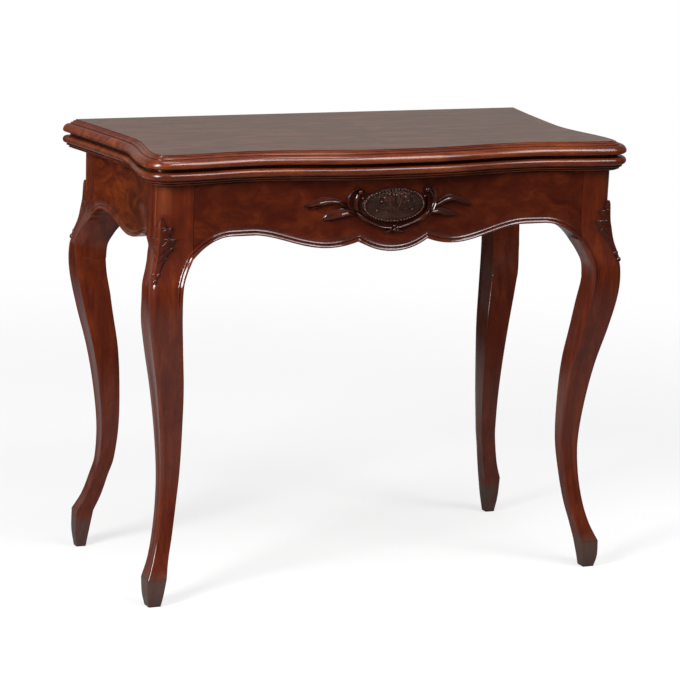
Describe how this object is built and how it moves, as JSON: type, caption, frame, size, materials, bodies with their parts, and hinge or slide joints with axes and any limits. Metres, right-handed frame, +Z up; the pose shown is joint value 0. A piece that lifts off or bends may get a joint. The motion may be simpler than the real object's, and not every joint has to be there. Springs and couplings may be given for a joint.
{
  "type": "games table",
  "caption": "Mahogany games table: serpentine moulded top swivels and folds open to a cloth-lined playing surface over a carved, scalloped frame on cabriole legs",
  "frame": {"origin": "middle of the footprint on the floor: bottom centre of the closed table's bounding box", "axes": "+Z up; the serpentine front with the carving faces -Y, the hinges are at +Y; +X runs to the right, seen from the front"},
  "size_m": [0.882, 0.4328, 0.75],
  "materials": {
    "frame_wood": "polished mahogany",
    "veneered_wood": "polished figured mahogany veneer",
    "top_wood": "polished mahogany",
    "plain_wood": "planed, unpolished",
    "brass": "dull brass",
    "steel": "dark, plain",
    "cloth": "baize"
  },
  "bodies": {
    "frame": {"leg_front_left": "frame_wood", "leg_front_right": "frame_wood", "leg_back_left": "frame_wood", "leg_back_right": "frame_wood", "front_apron": "veneered_wood", "side_apron_left": "veneered_wood", "side_apron_right": "veneered_wood", "back_rail": "veneered_wood", "apron_carving": "frame_wood", "corner_blocks": "plain_wood", "floor_board": "plain_wood", "floor_cleats": "plain_wood", "floor_screws": "steel", "well_divider": "plain_wood", "pivot_bearer": "plain_wood"},
    "lower_top": {"lower_leaf": "top_wood", "lower_cloth": "cloth", "pivot_plate": "steel", "pivot_plate_screws": "steel", "pivot_bolt": "steel", "pivot_washer": "steel", "pivot_nut": "steel", "stop_block": "plain_wood", "stop_screw": "steel", "hinge_left_lower": "brass", "hinge_right_lower": "brass", "hinge_pins": "brass", "hinge_screws_lower": "brass"},
    "upper_top": {"upper_leaf": "top_wood", "upper_cloth": "cloth", "hinge_left_upper": "brass", "hinge_right_upper": "brass", "hinge_screws_upper": "brass"}
  },
  "joints": [
    {"name": "top_swivel", "type": "hinge", "parent": "frame", "child": "lower_top", "pos_m": [0.10131, 0.10431, 0.7], "axis": [0, 0, 1], "range_deg": [0, 90]},
    {"name": "leaf_fold", "type": "hinge", "parent": "lower_top", "child": "upper_top", "pos_m": [0, 0.20563, 0.725], "axis": [-1, 0, 0], "range_deg": [0, 180]}
  ]
}
